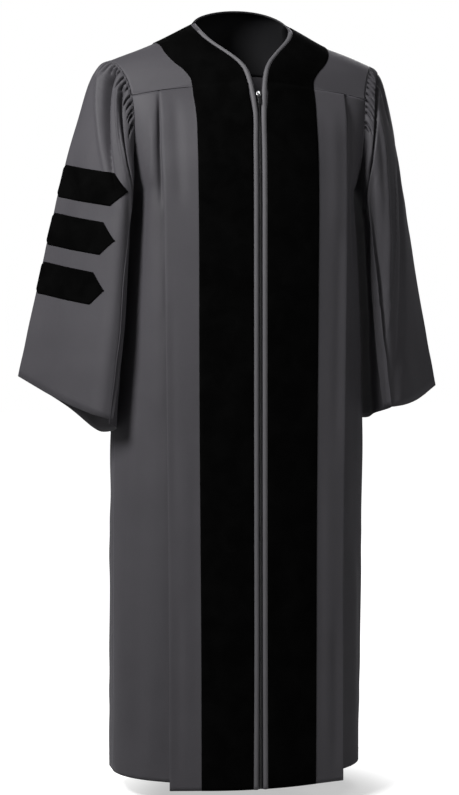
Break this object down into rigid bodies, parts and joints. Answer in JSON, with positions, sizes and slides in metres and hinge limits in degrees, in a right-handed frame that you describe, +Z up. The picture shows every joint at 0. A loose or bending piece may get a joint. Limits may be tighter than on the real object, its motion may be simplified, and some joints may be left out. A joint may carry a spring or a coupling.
{
  "type": "doctoral graduation gown",
  "caption": "Full-length doctoral graduation gown, worn form with no wearer: zip front, velvet panels, bell sleeves with velvet bars.",
  "frame": {"origin": "where the shoulders carry the gown: midway between the two side-neck points, at shoulder level", "axes": "+Z up, -Y the front, +X towards the wearer's left"},
  "size_m": [0.792, 0.3759, 1.3797],
  "materials": {
    "cloth": "smooth fine-woven polyester, soft sheen",
    "velvet": "short-pile velvet, deep black",
    "facing": "plain weave, matt black",
    "piping": "gown cloth, folded round a flat cord",
    "tape": "woven zip tape",
    "chain": "nylon coil",
    "metal": "polished zip slider",
    "dark_metal": "dark lacquered pull tab"
  },
  "bodies": {
    "gown": {"front_right": "cloth", "front_left": "cloth", "back": "cloth", "yoke_right": "cloth", "yoke_left": "cloth", "back_yoke": "cloth", "sleeve_right": "cloth", "sleeve_left": "cloth", "back_neck_facing": "facing", "velvet_right": "velvet", "velvet_left": "velvet", "velvet_back_neck": "velvet", "bar_right_1": "velvet", "bar_right_2": "velvet", "bar_right_3": "velvet", "bar_left_1": "velvet", "bar_left_2": "velvet", "bar_left_3": "velvet", "piping_right": "piping", "piping_left": "piping", "zip_tape_right": "tape", "zip_tape_left": "tape", "zip_chain": "chain", "zip_slider": "metal"},
    "pull_tab": {"zip_pull_tab": "dark_metal"}
  },
  "joints": [
    {"name": "tab_hinge", "type": "hinge", "parent": "gown", "child": "pull_tab", "pos_m": [0, -0.13103, -0.11668], "axis": [-1, 0, 0], "range_deg": [0, 150]}
  ]
}
